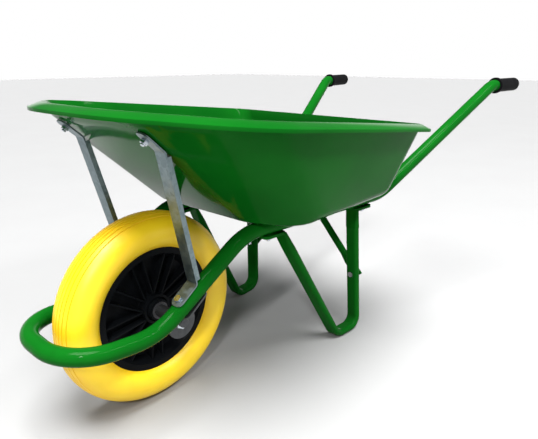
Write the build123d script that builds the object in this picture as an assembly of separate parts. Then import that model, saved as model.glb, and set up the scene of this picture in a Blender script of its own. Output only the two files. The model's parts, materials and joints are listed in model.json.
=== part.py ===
from build123d import *
import math
import os

# A builder's wheelbarrow: one bent frame tube that loops in front of the wheel, a pressed
# steel tray, two bent legs, a cross brace, two galvanised front braces and a solid tyre.
# Lengths are in millimetres. The wheel points to -X, the handles to +X, and -Y is the left.
# Pieces are drawn with the axle above X = 0, then moved along X so that the origin lies on
# the ground at the middle of the outer box.

# ---- driving dimensions ----
wheel_diameter = 400.0
tyre_half_width = 45.0
groove_count = 7
groove_spacing = 8.5
groove_depth = 2.0
groove_width = 2.6
rim_seat_radius = 124.0
rim_lip_radius = 131.0
rim_half_width = 27.0
hub_radius = 22.0
hub_half_length = 34.0
rib_pairs = 9
axle_diameter = 20.0

tube_diameter = 33.0
tube_wall = 2.0
loop_clearance = 14.5
loop_half_width = 100.0
loop_above_axle = 13.0
rail_below_tyre_top = 50.0
handle_above_rail = 263.0
handle_half_width = 314.0
handle_reach = 1184.0
grip_length = 130.0

tray_half_width = 338.0
tray_front = -146.0
tray_rear = 612.0
tray_depth = 250.0
rim_fall = 0.1
sheet = 2.0

leg_width = 36.0
leg_thickness = 17.0
foot_front_x = 430.0
foot_rear_x = 511.0
front_bolt_x = 211.0
rear_bolt_x = 533.0

brace_width = 28.0
brace_sheet = 3.0
cross_brace_diameter = 18.0
bolt_diameter = 8.0

# ---- worked out from the driving dimensions ----
wheel_radius = wheel_diameter / 2
tube_radius = tube_diameter / 2
axle_radius = axle_diameter / 2
bolt_radius = bolt_diameter / 2
hole_radius = bolt_radius + 0.3
rail_height = wheel_diameter - rail_below_tyre_top
handle_height = rail_height + handle_above_rail
rim_height = rail_height + tray_depth
loop_reach = wheel_radius + loop_clearance + tube_radius
loop_height = wheel_radius + loop_above_axle
running_gap = 0.05
fit_gap = 0.1
floor_bottom = rail_height + tube_radius + fit_gap


def hex_prism(plane, across_flats, height):
    """A hexagon standing on the plane."""
    outline = RegularPolygon(across_flats / 2, 6, major_radius=False)
    return extrude(plane * outline, amount=height)


def cylinder_on(plane, radius, height):
    return extrude(plane * Circle(radius), amount=height)


def up_plane(point, up):
    return Plane(origin=point, z_dir=up)


def mirror_side(solid):
    return mirror(solid, about=Plane.XZ)


def both(solid):
    """A left piece and its mirror image on the right."""
    return [solid, mirror_side(solid)]


# ---- frame tube ----
bend_low = Vector(-62, -109, wheel_radius - 1)
bend_front = Vector(148, -134, rail_height)
bend_rear = Vector(607, -184, rail_height)
bend_grip = Vector(1037, -295, handle_height - 1)
tube_end = Vector(handle_reach, -handle_half_width, handle_height)
loop_corner = Vector(-loop_reach, -loop_half_width, loop_height)
left_route = [loop_corner, bend_low, bend_front, bend_rear, bend_grip, tube_end]
left_bends = [90.0, 133.0, 131.0, 114.0, 60.0]

slope_dir = Vector((bend_front - bend_low).X, 0, (bend_front - bend_low).Z).normalized()
slope_up = Vector(-slope_dir.Z, 0, slope_dir.X)
grip_dir = (tube_end - bend_grip).normalized()


def slope_point(x):
    """Centre of the left tube where it climbs beside the wheel."""
    return bend_low + (bend_front - bend_low) * ((x - bend_low.X) / (bend_front.X - bend_low.X))


def rail_point(x):
    """Centre of the left tube under the tray."""
    return bend_front + (bend_rear - bend_front) * ((x - bend_front.X) / (bend_rear.X - bend_front.X))


def frame_tube():
    left = [tuple(p) for p in left_route]
    right = [(x, -y, z) for x, y, z in left]
    path = FilletPolyline(*left[::-1], *right, radius=left_bends[::-1] + left_bends)
    ring = Circle(tube_radius) - Circle(tube_radius - tube_wall)
    return sweep(Plane(origin=path @ 0, z_dir=path % 0) * ring, path=path)


def left_grip():
    """A rubber sleeve with a collar in front and a closed, rounded rear end."""
    wall = 3.0
    cap = 4.0
    base = tube_end - grip_dir * (grip_length - cap)
    sleeve = cylinder_on(up_plane(base, grip_dir), tube_radius + wall, grip_length)
    end_edges = sleeve.edges().filter_by(GeomType.CIRCLE).sort_by(Axis.X)[-1:]
    sleeve = fillet(end_edges, 5.5)
    collar = cylinder_on(up_plane(base, grip_dir), tube_radius + wall + 3.5, 9.0)
    collar = fillet(collar.edges().filter_by(GeomType.CIRCLE), 2.0)
    bore = cylinder_on(up_plane(base, grip_dir), tube_radius, grip_length - cap)
    return sleeve + collar - bore


# ---- tray ----
floor_front_x = 155.0
floor_rear_x = 580.0
floor_half_width = 246.0
floor_edge_radius = 40.0
flange = 22.0
flange_drop = 10.0
skirt = 6.0
crease_drop = 26.4
crease_front_x = -84.0
panel_half_flat = 152.0
wall_middle_x = 240.0

# Corners of the left half of an outline: front bow, front corner, rear corner, with radii.
outer_corners = [
    (tray_front, -118.0, 250.0),
    (tray_front + 123.0, -tray_half_width, 160.0),
    (tray_rear, -tray_half_width + 13.0, 65.0),
]
floor_corners = [
    (floor_front_x, -panel_half_flat + 20, 60.0),
    (floor_front_x + 44.0, -floor_half_width, 95.0),
    (floor_rear_x, -floor_half_width, 80.0),
]


def whole(corners):
    """Both halves of an outline, in order round the tray."""
    right = [(x, -y, r) for x, y, r in corners]
    return corners + right[::-1]


def inset(corners, amount):
    """Move each side of the outline inwards by the amount."""
    ring = whole(corners)
    lines = []
    for here, there in zip(ring, ring[1:] + ring[:1]):
        dx, dy = there[0] - here[0], there[1] - here[1]
        length = math.hypot(dx, dy)
        normal = (-dy / length, dx / length)
        lines.append((normal, normal[0] * here[0] + normal[1] * here[1] + amount))
    moved = []
    for index, corner in enumerate(corners):
        (a, b), c = lines[index - 1]
        (d, e), f = lines[index]
        det = a * e - b * d
        moved.append(((c * e - b * f) / det, (a * f - c * d) / det, corner[2] - amount))
    return moved


def outline(corners, height, fall):
    """A face with rounded corners in the plane z = height - fall * x."""
    ring = whole(corners)
    points = [(x, y, height - fall * x) for x, y, r in ring]
    loop = FilletPolyline(*points, radius=[r for x, y, r in ring], close=True)
    return Face(Wire(loop.edges()))


fold_corners = inset(outer_corners, flange)


def crease_corners():
    """Where the front panel turns flatter, a little below the fold."""
    share = 1 - crease_drop / (rim_height - rim_fall * wall_middle_x - floor_bottom)
    found = [(crease_front_x, -panel_half_flat, 100.0)]
    for (x0, y0, r0), (x1, y1, r1) in zip(floor_corners[1:], fold_corners[1:]):
        found.append((x0 + share * (x1 - x0), y0 + share * (y1 - y0), r0 + share * (r1 - r0)))
    return found


def tub(inward, lift, edge_radius):
    """The space inside the outline of floor and walls."""
    sections = [
        outline(inset(floor_corners, inward), floor_bottom + lift, 0.0),
        outline(inset(crease_corners(), inward), rim_height - crease_drop + lift, rim_fall),
        outline(inset(fold_corners, inward), rim_height + lift * 0.5, rim_fall),
    ]
    body = loft(sections, ruled=True)
    return fillet(body.edges().group_by(Axis.Z)[0], edge_radius)


def lid(inward, lower, reach):
    """The rolled rim: out and down from the fold, then straight down."""
    level = rim_height - lower
    sections = [
        outline(inset(outer_corners, inward), level - flange_drop - skirt - reach, rim_fall),
        outline(inset(outer_corners, inward), level - flange_drop, rim_fall),
        outline(fold_corners, level, rim_fall),
    ]
    return loft(sections, ruled=True)


def tray():
    rim = lid(0.0, 0.0, 0.0) - lid(sheet, sheet, 20.0)
    body = tub(0.0, 0.0, floor_edge_radius) + rim
    body -= tub(sheet * 0.8, sheet, floor_edge_radius - sheet)
    return body


# ---- legs ----
lug_thickness = 6.0
lug_reach = 17.0
lug_overlap = 8.0
front_strut_x = 246.0
rear_strut_x = 495.0
lug_top = rail_height - tube_radius - fit_gap
foot_z = leg_thickness / 2 - 0.5
foot_front = Vector(foot_front_x, -177.5, foot_z)
foot_rear = Vector(foot_rear_x, -185.0, foot_z)
strut_top_z = lug_top - lug_thickness / 2 - 2
front_top = Vector(front_strut_x, rail_point(front_strut_x).Y, strut_top_z)
rear_top = Vector(rear_strut_x, rail_point(rear_strut_x).Y, strut_top_z)
flatten_length = 46.0


def flat_oval(point, along, width, thickness):
    plane = Plane(origin=point, x_dir=(0, 1, 0), z_dir=along)
    return plane * SlotOverall(width, thickness)


def left_leg():
    """A flattened tube bent into a foot, with a pressed lug at each end."""
    front_dir = (foot_front - front_top).normalized()
    rear_dir = (foot_rear - rear_top).normalized()
    front_full = front_top + front_dir * flatten_length
    rear_full = rear_top + rear_dir * flatten_length
    points = [tuple(p) for p in (front_full, foot_front, foot_rear, rear_full)]
    path = FilletPolyline(*points, radius=[38.0, 27.0])
    leg = sweep(flat_oval(front_full, front_dir, leg_width, leg_thickness), path=path)
    for top, full, along in ((front_top, front_full, front_dir), (rear_top, rear_full, rear_dir)):
        pressed = flat_oval(top, along, leg_width, lug_thickness + 2)
        round_end = flat_oval(full, along, leg_width, leg_thickness)
        leg += loft([pressed, round_end], ruled=True)
    for top, bolt_x in ((front_top, front_bolt_x), (rear_top, rear_bolt_x)):
        end_x = bolt_x + math.copysign(lug_reach, bolt_x - top.X)
        middle = rail_point((top.X + end_x) / 2)
        turn = math.degrees(math.atan2(rail_point(1).Y - rail_point(0).Y, 1))
        length = abs(end_x - top.X) + lug_overlap
        plate = Rot(0, 0, turn) * Box(length, leg_width - 2, lug_thickness)
        plate = fillet(plate.edges().filter_by(Axis.Z), 10.0)
        leg += Pos(middle.X, middle.Y, lug_top - lug_thickness / 2) * plate
    ground = Pos(foot_front_x, foot_rear.Y, -10) * Box(400, 200, 20)
    return leg - ground


# ---- cross brace ----
cross_z = 155.0
strut_share = (cross_z - foot_z) / (rear_top.Z - foot_z)
strut_point = foot_rear + (rear_top - foot_rear) * strut_share
cross_tab = 5.0
cross_x = strut_point.X + leg_thickness / 2 + 2.2
apex_z = rail_height + 6.0


def cross_brace():
    """A bar bent to an upturned V, with flattened ends behind the rear struts."""
    bar_radius = cross_brace_diameter / 2
    centre_x = cross_x + cross_tab / 2
    tab_middle = Vector(centre_x, strut_point.Y, cross_z)
    apex = Vector(centre_x, 0, apex_z)
    rise = (apex - tab_middle).normalized()
    start = tab_middle + rise * 62
    end = Vector(start.X, -start.Y, start.Z)
    path = FilletPolyline(tuple(start), tuple(apex), tuple(end), radius=30.0)
    bar = sweep(Plane(origin=start, z_dir=rise) * Circle(bar_radius), path=path)
    tab_start = tab_middle + rise * 36
    wide = Plane(origin=tab_start, x_dir=(1, 0, 0), z_dir=rise) * Rectangle(cross_tab, 26)
    narrow = Plane(origin=start, x_dir=(1, 0, 0), z_dir=rise) * Circle(bar_radius)
    end_piece = loft([wide, narrow])
    tab_plane = Plane(origin=tab_middle - rise * 13, x_dir=(1, 0, 0), z_dir=rise)
    tab = extrude(tab_plane * Rectangle(cross_tab, 26), 50)
    tab = fillet(tab.edges().filter_by(Axis.X).group_by(Axis.Z)[0], 9.0)
    end_piece += tab
    return bar + end_piece + mirror_side(end_piece)


# ---- front braces ----
panel_rise = rim_height - crease_drop - rim_fall * crease_front_x - floor_bottom
panel_dir = Vector(crease_front_x - floor_front_x, 0, panel_rise).normalized()
panel_in = Vector(panel_dir.Z, 0, -panel_dir.X)
brace_top_y = -127.0
brace_lug_gap = 1.0
brace_bolt_centre = slope_point(-3.0)


def panel_point(x, offset):
    """A point on the outside of the front panel, moved off it by the offset."""
    along = (x - floor_front_x) / panel_dir.X
    on_panel = Vector(floor_front_x, brace_top_y, floor_bottom) + panel_dir * along
    return on_panel - panel_in * offset


def left_brace():
    """A strip from the tray to the frame, its edges turned back between the two bends."""
    off_tube = tube_radius + fit_gap + brace_sheet / 2
    off_panel = brace_lug_gap + brace_sheet / 2
    lower_line = brace_bolt_centre + slope_up * off_tube
    low_end = lower_line - slope_dir * 14
    low_bend = lower_line + slope_dir * 41
    high_bend = panel_point(-40.0, off_panel)
    high_end = panel_point(-79.0, off_panel)
    points = [(p.X, 0, p.Z) for p in (low_end, low_bend, high_bend, high_end)]
    path = FilletPolyline(*points, radius=7.0)
    start = Plane(origin=path @ 0, x_dir=(0, 1, 0), z_dir=path % 0)
    strip = sweep(start * Rectangle(brace_width, brace_sheet), path=path)
    ends = strip.edges().filter_by(lambda e: abs(e.length - brace_sheet) < 0.01)
    strip = fillet(ends, brace_width / 2 - 2)
    low, high = Vector(*points[1]), Vector(*points[2])
    run = (high - low).normalized()
    back = Vector(run.Z, 0, -run.X)
    turned_depth = 9.0
    turned_length = (high - low).length - 18
    base = Plane(origin=low + run * 9 + back * turned_depth / 2, x_dir=(0, 1, 0), z_dir=run)
    side = (brace_width - brace_sheet) / 2
    for across in (-side, side):
        edge = base * Pos(across, 0, 0) * Rectangle(brace_sheet, turned_depth)
        strip += extrude(edge, turned_length)
    lean = math.degrees(math.asin((brace_bolt_centre.Y - brace_top_y) / (high - low).length))
    strip = Pos(0, brace_bolt_centre.Y, low_end.Z) * Rot(lean, 0, 0) * Pos(0, 0, -low_end.Z) * strip
    return strip


# ---- wheel ----
bush_wall = 4.0
hub_bore = axle_radius + bush_wall
rim_floor_radius = 112.0
web_half = 3.0
bead_gap = 0.1


def turned(points):
    """Turn a closed outline of (across, radius) points round the axle."""
    face = make_face(Polyline(*[(0, y, r) for y, r in points], close=True))
    return revolve(face, Axis.Y, 360)


rib_start = 17.0
rib_spreads = (4.0, -23.0)
rib_half_depth = 20.0


def rib(root_angle, tip_angle):
    """A thin wall on both sides of the web, from the hub to the rim."""
    root = Vector(hub_radius + 7, 0, 0).rotate(Axis.Y, -root_angle)
    tip = Vector(rim_floor_radius + 4, 0, 0).rotate(Axis.Y, -tip_angle)
    along = (tip - root).normalized()
    start = Plane(origin=root, x_dir=(0, 1, 0), z_dir=along)
    return extrude(start * Rectangle(2 * rib_half_depth, 3.0), (tip - root).length)


def wheel_rim():
    half = [
        (hub_half_length, hub_bore),
        (hub_half_length, hub_radius),
        (web_half + 4, hub_radius + 4),
        (web_half, hub_radius + 12),
        (web_half, rim_floor_radius - 6),
        (rim_half_width, rim_floor_radius + 6),
        (rim_half_width, rim_lip_radius),
        (rim_half_width - 4, rim_lip_radius),
        (rim_half_width - 4, rim_seat_radius),
    ]
    wheel = turned(half + [(-y, r) for y, r in reversed(half)])
    ring_in, ring_out, ring_half = hub_radius + 4, hub_radius + 9, rim_half_width - 1
    ring = turned(
        [(ring_half, ring_in), (ring_half, ring_out), (-ring_half, ring_out), (-ring_half, ring_in)]
    )
    wheel += ring
    for index in range(rib_pairs):
        root = index * 360 / rib_pairs + rib_start
        for spread in rib_spreads:
            wheel += rib(root, root + spread)
    bore_half = hub_half_length + 6
    return wheel - turned([(bore_half, 0), (bore_half, hub_bore), (-bore_half, hub_bore), (-bore_half, 0)])


def tyre():
    """A solid tyre: an oval section standing on the rim, with grooves round the tread."""
    bead = rim_lip_radius + bead_gap
    mid_radius = (wheel_radius + rim_seat_radius) / 2
    half_height = wheel_radius - mid_radius
    power = 2.1

    def half_across(radius):
        ratio = abs(radius - mid_radius) / half_height
        return tyre_half_width * (1 - ratio**power) ** (1 / power)

    heights = (-0.579, -0.316, 0.0, 0.316, 0.579, 0.789, 0.921)
    radii = [bead] + [mid_radius + half_height * height for height in heights]
    side = [(half_across(r), r) for r in radii] + [(0, wheel_radius)]
    flank = Spline(*[(0, y, r) for y, r in side + [(-y, r) for y, r in side[-2::-1]]])
    inner = rim_half_width - 4 - bead_gap
    seat = rim_seat_radius + bead_gap
    lip = half_across(bead)
    left_base = [(0, -lip, bead), (0, -inner, bead), (0, -inner, seat)]
    right_base = [(x, -y, r) for x, y, r in reversed(left_base)]
    base = Polyline(*left_base, *right_base)
    body = revolve(make_face(flank.edges() + base.edges()), Axis.Y, 360)
    for index in range(groove_count):
        y = (index - (groove_count - 1) / 2) * groove_spacing
        top = mid_radius + half_height * (1 - (abs(y) / tyre_half_width) ** power) ** (1 / power)
        above, bottom = top + 4, top - groove_depth
        mouth_half, bottom_half = groove_width / 2, groove_width / 2 - 0.5
        groove = [
            (y - mouth_half, above),
            (y + mouth_half, above),
            (y + bottom_half, bottom),
            (y - bottom_half, bottom),
        ]
        body -= turned(groove)
    return body


bush_flange = 1.5
bush_depth = 14.0


def right_bush():
    inner = axle_radius + running_gap
    points = [
        (bush_depth, inner),
        (bush_depth, hub_bore),
        (hub_half_length, hub_bore),
        (hub_half_length, hub_bore + 4),
        (hub_half_length + bush_flange, hub_bore + 4),
        (hub_half_length + bush_flange, inner),
    ]
    return turned(points)


# ---- axle and its brackets ----
bracket_in = 88.0
bracket_sheet = 4.0
bracket_out = bracket_in + bracket_sheet
bracket_width = 42.0
eye_radius = 33.0
axle_washer_height = 2.0
axle_nut_height = 12.0
axle_half = bracket_out + axle_washer_height + axle_nut_height + 6


def axle():
    bar = Rot(90, 0, 0) * Cylinder(axle_radius, 2 * axle_half)
    bar = Pos(0, 0, wheel_radius) * bar
    return chamfer(bar.edges(), 1.5)


def right_spacer():
    start = hub_half_length + bush_flange + 0.3
    length = bracket_in - start
    tube = Cylinder(axle_radius + 3, length) - Cylinder(axle_radius + running_gap, length)
    return Pos(0, start + length / 2, wheel_radius) * Rot(90, 0, 0) * tube


def left_bracket():
    """An angle under the tube that carries the end of the axle."""
    under = brace_bolt_centre - slope_up * (tube_radius + fit_gap)
    half_length = 33.0
    middle = under + slope_dir * 15 - slope_up * bracket_sheet / 2
    flat = Box(2 * half_length, bracket_width, bracket_sheet)
    flat = fillet(flat.edges().filter_by(Axis.Z).group_by(Axis.Y)[0], 10.0)
    angle = math.degrees(math.asin(slope_dir.Z))
    flat = Pos(middle.X, -bracket_in - bracket_width / 2, middle.Z) * Rot(0, -angle, 0) * flat
    rear = middle + slope_dir * (half_length - 2)
    front = middle - slope_dir * (half_length - 2)
    corners = [
        (-24, wheel_radius - 4),
        (front.X, front.Z),
        (rear.X, rear.Z),
        (39, wheel_radius - 10),
    ]
    web = make_face(Polyline(*[(x, -bracket_in, z) for x, z in corners], close=True))
    web = extrude(web, bracket_sheet, dir=(0, -1, 0))
    eye = Rot(90, 0, 0) * Cylinder(eye_radius, bracket_sheet)
    eye = Pos(8, -bracket_in - bracket_sheet / 2, wheel_radius - 10) * eye
    hole = Pos(0, -bracket_in, wheel_radius) * Rot(90, 0, 0) * Cylinder(axle_radius + running_gap, 20)
    return flat + web + eye - hole


def axle_washer():
    plane = Plane(origin=(0, -bracket_out, wheel_radius), z_dir=(0, -1, 0))
    ring = cylinder_on(plane, axle_radius + 5, axle_washer_height)
    return ring - cylinder_on(plane, axle_radius, axle_washer_height)


def axle_nut():
    start = -bracket_out - axle_washer_height
    plane = Plane(origin=(0, start, wheel_radius), z_dir=(0, -1, 0))
    hexagon = hex_prism(plane, axle_diameter + 6, axle_nut_height)
    return hexagon - cylinder_on(plane, axle_radius, axle_nut_height)


# ---- fasteners ----
head_across = bolt_diameter + 5
head_height = 5.3
nut_height = 6.5
washer_radius = bolt_radius + 4
washer_height = 1.6
thread_out = 4.0


def bolt(seat, grip):
    """A bolt whose head stands on the seat, with a shank through the grip, nut and a bit more."""
    shank = cylinder_on(seat, bolt_radius, -(grip + nut_height + thread_out))
    tip = shank.edges().filter_by(GeomType.CIRCLE).sort_by_distance(seat.origin)[-1:]
    shank = chamfer(tip, 0.8)
    return shank + hex_prism(seat, head_across, head_height)


def nut(seat, grip):
    below = seat.offset(-grip - nut_height)
    return hex_prism(below, head_across, nut_height) - cylinder_on(below, bolt_radius, nut_height)


def washer(seat):
    ring = cylinder_on(seat, washer_radius, washer_height)
    return ring - cylinder_on(seat, bolt_radius + fit_gap, washer_height)


floor_top = floor_bottom + sheet
leg_grip = floor_top - (lug_top - lug_thickness)
panel_bolt_x = -65.0
panel_stack = sheet * 1.3 + 0.9
panel_grip = panel_stack + brace_lug_gap + brace_sheet + 0.6
panel_seat = up_plane(panel_point(panel_bolt_x, -panel_stack), panel_in)
head_gap = 0.3
tube_stack = tube_radius + fit_gap + brace_sheet + head_gap
tube_seat = up_plane(brace_bolt_centre + slope_up * tube_stack, slope_up)
tube_grip = tube_stack + tube_radius + fit_gap + bracket_sheet + fit_gap
strut_front_x = strut_point.X - leg_thickness / 2 - 1.3
cross_seat = Plane(origin=(strut_front_x, strut_point.Y, cross_z), z_dir=(-1, 0, 0))
cross_grip = cross_x + cross_tab - strut_front_x + 0.1


def floor_seat(x):
    point = rail_point(x)
    return Plane(origin=(point.X, point.Y, floor_top), z_dir=(0, 0, 1))


seats = {
    "brace_top": (panel_seat, panel_grip, True),
    "brace_bottom": (tube_seat, tube_grip, False),
    "leg_front": (floor_seat(front_bolt_x), leg_grip, True),
    "leg_rear": (floor_seat(rear_bolt_x), leg_grip, True),
    "cross_brace": (cross_seat, cross_grip, False),
}


def drilled(solid, *names, mirrored=False):
    """Cut the bolt holes of the named joints."""
    for name in names:
        hole = cylinder_on(seats[name][0].offset(-120), hole_radius, 140)
        solid -= hole
        if mirrored:
            solid -= mirror_side(hole)
    return solid


nodes = {}
lone_grip = left_grip()
nodes["frame_tube"] = [drilled(frame_tube(), "brace_bottom", "leg_front", "leg_rear", mirrored=True)]
nodes["tray"] = [drilled(tray(), "brace_top", "leg_front", "leg_rear", mirrored=True)]
nodes["cross_brace"] = [drilled(cross_brace(), "cross_brace", mirrored=True)]
handed = {
    "grip": lone_grip,
    "leg": drilled(left_leg(), "leg_front", "leg_rear", "cross_brace"),
    "brace": drilled(left_brace(), "brace_top", "brace_bottom"),
    "axle_bracket": drilled(left_bracket(), "brace_bottom"),
    "bush": mirror_side(Pos(0, 0, wheel_radius) * right_bush()),
}
for name, solid in handed.items():
    nodes[f"left_{name}"] = [solid]
    nodes[f"right_{name}"] = [mirror_side(solid)]
nodes["wheel_rim"] = [Pos(0, 0, wheel_radius) * wheel_rim()]
nodes["tyre"] = [Pos(0, 0, wheel_radius) * tyre()]
nodes["axle"] = [axle()]
nodes["axle_spacers"] = both(right_spacer())
nodes["axle_washers"] = both(axle_washer())
nodes["axle_nuts"] = both(axle_nut())
nodes["tray_washers"] = []
for name, (seat, grip, on_tray) in seats.items():
    if on_tray:
        nodes["tray_washers"] += both(washer(seat))
        nodes[f"{name}_bolts"] = both(bolt(seat.offset(washer_height), grip + washer_height))
    else:
        nodes[f"{name}_bolts"] = both(bolt(seat, grip))
    nodes[f"{name}_nuts"] = both(nut(seat, grip))

x_min = nodes["frame_tube"][0].bounding_box().min.X
x_max = lone_grip.bounding_box().max.X
middle_x = (x_min + x_max) / 2

os.makedirs("parts", exist_ok=True)
for name, solids in nodes.items():
    moved = [Pos(-middle_x, 0, 0) * solid for solid in solids]
    if len(moved) == 1:
        shape = moved[0]
    else:
        shape = Compound(children=[Solid(s.solids()[0].wrapped) for s in moved])
    shape.label = name
    export_step(shape, f"parts/{name}.step")
print(f"axle at x = {-middle_x:.3f}, {len(nodes)} nodes")
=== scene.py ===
import json
import math

import bpy
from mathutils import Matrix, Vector

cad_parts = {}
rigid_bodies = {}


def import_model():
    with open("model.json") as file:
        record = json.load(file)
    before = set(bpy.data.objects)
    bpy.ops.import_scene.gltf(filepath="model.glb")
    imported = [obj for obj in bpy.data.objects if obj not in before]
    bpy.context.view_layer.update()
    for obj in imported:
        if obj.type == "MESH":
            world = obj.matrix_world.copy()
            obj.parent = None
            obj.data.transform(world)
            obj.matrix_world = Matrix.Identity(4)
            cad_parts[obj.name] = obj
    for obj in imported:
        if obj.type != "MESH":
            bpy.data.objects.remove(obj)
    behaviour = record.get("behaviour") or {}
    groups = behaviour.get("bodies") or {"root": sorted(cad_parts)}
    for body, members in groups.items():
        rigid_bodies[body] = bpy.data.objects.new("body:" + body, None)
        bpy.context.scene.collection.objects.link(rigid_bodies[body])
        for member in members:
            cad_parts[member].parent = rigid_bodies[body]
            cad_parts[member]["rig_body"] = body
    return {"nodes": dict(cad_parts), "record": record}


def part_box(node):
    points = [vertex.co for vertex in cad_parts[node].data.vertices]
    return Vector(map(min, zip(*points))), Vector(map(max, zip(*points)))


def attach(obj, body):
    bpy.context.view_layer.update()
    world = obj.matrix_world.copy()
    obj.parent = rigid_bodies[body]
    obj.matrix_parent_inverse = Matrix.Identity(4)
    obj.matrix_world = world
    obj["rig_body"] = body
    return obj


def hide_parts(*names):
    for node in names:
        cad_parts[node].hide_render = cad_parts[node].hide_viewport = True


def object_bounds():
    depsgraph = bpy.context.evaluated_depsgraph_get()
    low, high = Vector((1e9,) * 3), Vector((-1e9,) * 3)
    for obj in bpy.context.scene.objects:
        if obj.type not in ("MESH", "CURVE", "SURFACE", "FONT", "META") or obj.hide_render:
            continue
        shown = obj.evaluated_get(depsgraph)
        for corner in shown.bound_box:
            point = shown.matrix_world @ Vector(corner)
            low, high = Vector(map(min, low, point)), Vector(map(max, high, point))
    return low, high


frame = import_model()
low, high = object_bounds()
nodes = frame["nodes"]
scene = bpy.context.scene
scene.view_settings.view_transform = "Standard"

# ---- places worked out from the frame ----
tyre_low, tyre_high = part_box("tyre")
axle_centre = (tyre_low + tyre_high) / 2


# ---- shader tools ----
class Value:
    """A number in a shader: arithmetic on it adds Math nodes."""

    def __init__(self, finish, socket):
        self.finish = finish
        self.socket = socket

    def _math(self, operation, *given):
        return self.finish.node("ShaderNodeMath", {"operation": operation}, dict(enumerate(given)))

    def __add__(self, other):
        return self._math("ADD", self, other)

    def __radd__(self, other):
        return self._math("ADD", other, self)

    def __sub__(self, other):
        return self._math("SUBTRACT", self, other)

    def __rsub__(self, other):
        return self._math("SUBTRACT", other, self)

    def __mul__(self, other):
        return self._math("MULTIPLY", self, other)

    def __rmul__(self, other):
        return self._math("MULTIPLY", other, self)

    def __abs__(self):
        return self._math("ABSOLUTE", self)


class Finish:
    """A material under construction, with one Principled shader."""

    def __init__(self, name):
        self.material = bpy.data.materials.new(name)
        self.material.use_nodes = True
        self.tree = self.material.node_tree
        self.shader = self.tree.nodes["Principled BSDF"]
        self.place = self.node("ShaderNodeTexCoord", {}, {}, "Object")

    def node(self, kind, settings, inputs, output=0):
        made = self.tree.nodes.new(kind)
        for name, setting in settings.items():
            setattr(made, name, setting)
        for name, given in inputs.items():
            if isinstance(given, Value):
                self.tree.links.new(given.socket, made.inputs[name])
            else:
                made.inputs[name].default_value = given
        return Value(self, made.outputs[output])

    def noise(self, scale, detail=3.0, rough=0.5):
        inputs = {"Vector": self.place, "Scale": scale, "Detail": detail, "Roughness": rough}
        return self.node("ShaderNodeTexNoise", {}, inputs, "Fac")

    def ramp(self, value, start, end):
        """From 0 at the start to 1 at the end, with an eased step between."""
        settings = {"interpolation_type": "SMOOTHSTEP"}
        inputs = {"Value": value, "From Min": start, "From Max": end}
        return self.node("ShaderNodeMapRange", settings, inputs)

    def blend(self, share, first, second):
        """A colour between two colours."""
        inputs = {0: share, 6: first, 7: second}
        return self.node("ShaderNodeMix", {"data_type": "RGBA"}, inputs, 2)

    def axes(self):
        split = self.tree.nodes.new("ShaderNodeSeparateXYZ")
        self.tree.links.new(self.place.socket, split.inputs[0])
        return [Value(self, socket) for socket in split.outputs]

    def bump(self, height, depth, strength=1.0):
        inputs = {"Height": height, "Distance": depth, "Strength": strength}
        self.set("Normal", self.node("ShaderNodeBump", {}, inputs))

    def set(self, name, given):
        if isinstance(given, Value):
            self.tree.links.new(given.socket, self.shader.inputs[name])
        else:
            self.shader.inputs[name].default_value = given


def colour(red, green, blue):
    return (red, green, blue, 1.0)


# ---- finishes ----
def green_enamel():
    made = Finish("green_enamel")
    mottle = made.noise(7.0, 4.0)
    fine = made.noise(240.0, 2.0)
    dark, light = colour(0.002, 0.074, 0.005), colour(0.003, 0.090, 0.006)
    base = made.blend(made.ramp(mottle, 0.3, 0.7), dark, light)
    height = made.axes()[2]
    # Grime and painted shade: blotchy noise plus a darkening towards the bottom (lower height), reaching
    # at most a quarter of the blend.
    grime_and_painted_shade = made.ramp(made.noise(22.0, 6.0, 0.6) - height * 0.9, 0.28, 0.62) * 0.25
    # The darker green here is the painted shade and grime colour, laid over the lower parts.
    made.set("Base Color", made.blend(grime_and_painted_shade, base, colour(0.004, 0.038, 0.005)))
    made.set("Roughness", 0.05 + 0.06 * made.noise(30.0, 5.0, 0.6) + 0.15 * grime_and_painted_shade)
    made.set("IOR", 1.1)
    made.bump(made.noise(55.0, 2.0) + 0.15 * fine, 0.0005, 0.12)
    return made.material


def yellow_polyurethane():
    made = Finish("yellow_polyurethane")
    across = abs(made.axes()[1])
    cloud = made.noise(14.0, 4.0)
    base = made.blend(made.ramp(cloud, 0.3, 0.7), colour(0.80, 0.52, 0.006), colour(0.84, 0.58, 0.010))
    tread = 1.0 - made.ramp(across, 0.026, 0.04)
    made.set("Base Color", made.blend(tread * 0.5, base, colour(0.82, 0.47, 0.005)))
    made.set("Roughness", 0.36 + 0.12 * made.noise(40.0, 5.0, 0.6))
    made.set("Subsurface Weight", 0.08)
    made.set("Subsurface Radius", (0.02, 0.012, 0.004))
    made.bump(made.noise(420.0, 3.0), 0.0003, 0.2)
    return made.material


def black_moulding():
    made = Finish("black_moulding")
    cloud = made.noise(24.0, 4.0)
    made.set("Base Color", made.blend(cloud, colour(0.002, 0.0025, 0.003), colour(0.006, 0.007, 0.0085)))
    made.set("IOR", 1.12)
    made.set("Roughness", 0.3 + 0.14 * made.noise(60.0, 5.0, 0.6))
    made.bump(made.noise(600.0, 2.0), 0.0002, 0.2)
    return made.material


def grip_rubber():
    made = Finish("grip_rubber")
    cloud = made.noise(30.0, 4.0)
    made.set("Base Color", made.blend(cloud, colour(0.003, 0.003, 0.003), colour(0.008, 0.008, 0.009)))
    made.set("IOR", 1.08)
    made.set("Roughness", 0.42 + 0.15 * made.noise(70.0, 4.0))
    made.bump(made.noise(500.0, 3.0), 0.0004, 0.3)
    return made.material


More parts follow.
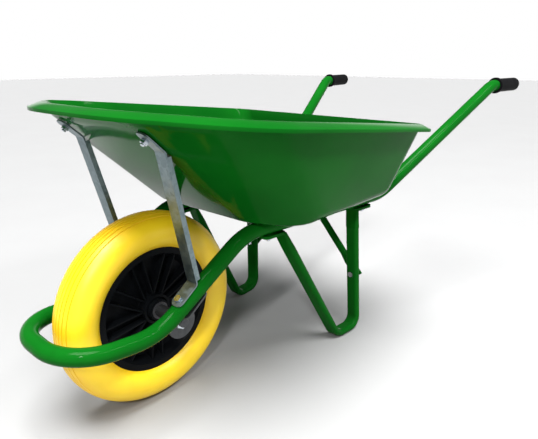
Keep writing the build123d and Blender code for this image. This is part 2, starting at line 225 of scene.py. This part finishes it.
def galvanised():
    made = Finish("galvanised")
    spangle = made.node("ShaderNodeTexVoronoi", {}, {"Vector": made.place, "Scale": 130.0}, "Color")
    grey = made.node("ShaderNodeRGBToBW", {}, {"Color": spangle})
    base = made.blend(grey, colour(0.12, 0.165, 0.18), colour(0.22, 0.275, 0.29))
    bloom = made.ramp(made.noise(35.0, 6.0, 0.65), 0.52, 0.75)
    made.set("Base Color", made.blend(bloom * 0.6, base, colour(0.30, 0.35, 0.36)))
    made.set("Metallic", 0.9)
    made.set("Roughness", 0.3 + 0.16 * grey + 0.2 * bloom)
    made.bump(made.noise(180.0, 4.0), 0.0003, 0.25)
    return made.material


def zinc_plate():
    made = Finish("zinc_plate")
    cloud = made.noise(120.0, 4.0)
    made.set("Base Color", made.blend(cloud, colour(0.45, 0.5, 0.56), colour(0.68, 0.71, 0.76)))
    made.set("Metallic", 1.0)
    made.set("Roughness", 0.16 + 0.16 * made.noise(200.0, 4.0))
    made.bump(made.noise(900.0, 2.0), 0.0001, 0.3)
    return made.material


def dark_steel():
    made = Finish("dark_steel")
    cloud = made.noise(60.0, 5.0, 0.6)
    made.set("Base Color", made.blend(cloud, colour(0.035, 0.037, 0.04), colour(0.11, 0.115, 0.12)))
    made.set("Metallic", 0.85)
    made.set("Roughness", 0.32 + 0.2 * made.noise(90.0, 4.0))
    made.bump(made.noise(400.0, 3.0), 0.0002, 0.25)
    return made.material


def bush_nylon():
    made = Finish("bush_nylon")
    cloud = made.noise(80.0, 3.0)
    made.set("Base Color", made.blend(cloud, colour(0.02, 0.02, 0.022), colour(0.045, 0.045, 0.05)))
    made.set("Roughness", 0.45 + 0.1 * made.noise(150.0, 3.0))
    return made.material


def pale_floor():
    made = Finish("pale_floor")
    dark, light = colour(0.29, 0.29, 0.29), colour(0.31, 0.31, 0.31)
    made.set("Base Color", made.blend(made.noise(3.0, 3.0), dark, light))
    made.set("Roughness", 0.6 + 0.05 * made.noise(30.0, 3.0))
    return made.material


finishes = {
    "green_paint": green_enamel(),
    "grip_rubber": grip_rubber(),
    "galvanised": galvanised(),
    "dark_steel": dark_steel(),
    "black_plastic": black_moulding(),
    "yellow_tyre": yellow_polyurethane(),
    "bush_plastic": bush_nylon(),
    "zinc": zinc_plate(),
}


def dress(piece, slot):
    piece.data.materials.clear()
    piece.data.materials.append(finishes[slot])


for part in frame["record"]["subparts"]:
    dress(nodes[part["node"]], part["material_slot"])


# ---- pressed tray with rounded folds ----
MERGE_DISTANCE = 0.00002
FLAT_ANGLE = math.radians(0.5)
FOLD_ANGLE = math.radians(35)
SMOOTH_ANGLE = math.radians(40)
FOLD_ROUND = 0.0022
FOLD_STEPS = 3


def only(piece):
    bpy.ops.object.select_all(action="DESELECT")
    piece.select_set(True)
    bpy.context.view_layer.objects.active = piece


def rounded(node, name):
    """A merged copy of a pressed part, with its sharp folds rounded."""
    source = nodes[node]
    piece = source.copy()
    piece.data = source.data.copy()
    piece.name = name
    for key in list(piece.keys()):
        if key.startswith("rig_"):
            del piece[key]
    piece.parent = None
    scene.collection.objects.link(piece)
    only(piece)
    bpy.ops.object.mode_set(mode="EDIT")
    bpy.ops.mesh.select_all(action="SELECT")
    bpy.ops.mesh.remove_doubles(threshold=MERGE_DISTANCE)
    bpy.ops.mesh.dissolve_limited(angle_limit=FLAT_ANGLE)
    bpy.ops.object.mode_set(mode="OBJECT")
    edge = piece.modifiers.new("edge", "BEVEL")
    edge.width = FOLD_ROUND
    edge.segments = FOLD_STEPS
    edge.limit_method = "ANGLE"
    edge.angle_limit = FOLD_ANGLE
    bpy.ops.object.modifier_apply(modifier="edge")
    bpy.ops.object.shade_smooth_by_angle(angle=SMOOTH_ANGLE)
    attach(piece, source["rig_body"])
    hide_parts(node)
    return piece


slots = {part["node"]: part["material_slot"] for part in frame["record"]["subparts"]}
pressed_tray = rounded("tray", "pressed_tray")
dress(pressed_tray, slots["tray"])


# ---- floor, light and camera ----
FLOOR_SIZE = 40.0
FLOOR_DROP = 0.0005
WHITE_TO = 0.13
GREY_FROM = 0.24
AZIMUTH = math.radians(-48.89)
ELEVATION = math.radians(17.95)
EYE_FROM_AXLE = Vector((-0.521, -0.782, 0.480))

# Name, kind, place, long side (or the angle of a sun), short side, power.
LAMPS = (
    ("overhead", "SUN", (-0.5, -0.4, 3.0), math.radians(35), 0.0, 8.6),
    ("key", "AREA", (-2.2, -1.5, 2.0), 0.22, 0.22, 36.0),
    ("long_strip", "AREA", (0.3, -2.0, 2.6), 2.4, 0.1, 60.0),
)


def studio():
    bpy.ops.mesh.primitive_plane_add(size=FLOOR_SIZE, location=(0.0, 0.0, low.z - FLOOR_DROP))
    floor = bpy.context.object
    floor.name = "floor"
    floor.data.materials.append(pale_floor())

    world = bpy.data.worlds.new("studio")
    scene.world = world
    world.use_nodes = True
    tree = world.node_tree
    direction = tree.nodes.new("ShaderNodeTexCoord")
    split = tree.nodes.new("ShaderNodeSeparateXYZ")
    ramp = tree.nodes.new("ShaderNodeValToRGB")
    tree.links.new(direction.outputs["Generated"], split.inputs[0])
    tree.links.new(split.outputs["Z"], ramp.inputs["Fac"])
    ramp.color_ramp.elements[0].position = WHITE_TO
    ramp.color_ramp.elements[0].color = colour(1.0, 1.0, 1.0)
    ramp.color_ramp.elements[1].position = GREY_FROM
    ramp.color_ramp.elements[1].color = colour(0.2, 0.2, 0.21)
    background = tree.nodes["Background"]
    tree.links.new(ramp.outputs["Color"], background.inputs["Color"])
    background.inputs["Strength"].default_value = 1.0

    middle = (low + high) / 2
    for name, kind, place, size, breadth, power in LAMPS:
        data = bpy.data.lights.new(name, kind)
        data.energy = power
        if kind == "SUN":
            data.angle = size
        else:
            data.shape = "RECTANGLE"
            data.size = size
            data.size_y = breadth
        lamp = bpy.data.objects.new(name, data)
        scene.collection.objects.link(lamp)
        lamp.location = place
        lamp.rotation_euler = (middle - Vector(place)).to_track_quat("-Z", "Y").to_euler()


def camera():
    flat = math.cos(ELEVATION)
    back = Vector((math.sin(AZIMUTH) * flat, -math.cos(AZIMUTH) * flat, math.sin(ELEVATION)))
    data = bpy.data.cameras.new("view")
    data.lens = 32.6
    data.sensor_width = 36.0
    data.clip_start = 0.02
    data.clip_end = 60.0
    eye = bpy.data.objects.new("view", data)
    scene.collection.objects.link(eye)
    eye.location = axle_centre + EYE_FROM_AXLE
    eye.rotation_euler = (-back).to_track_quat("-Z", "Y").to_euler()
    scene.camera = eye


studio()
camera()
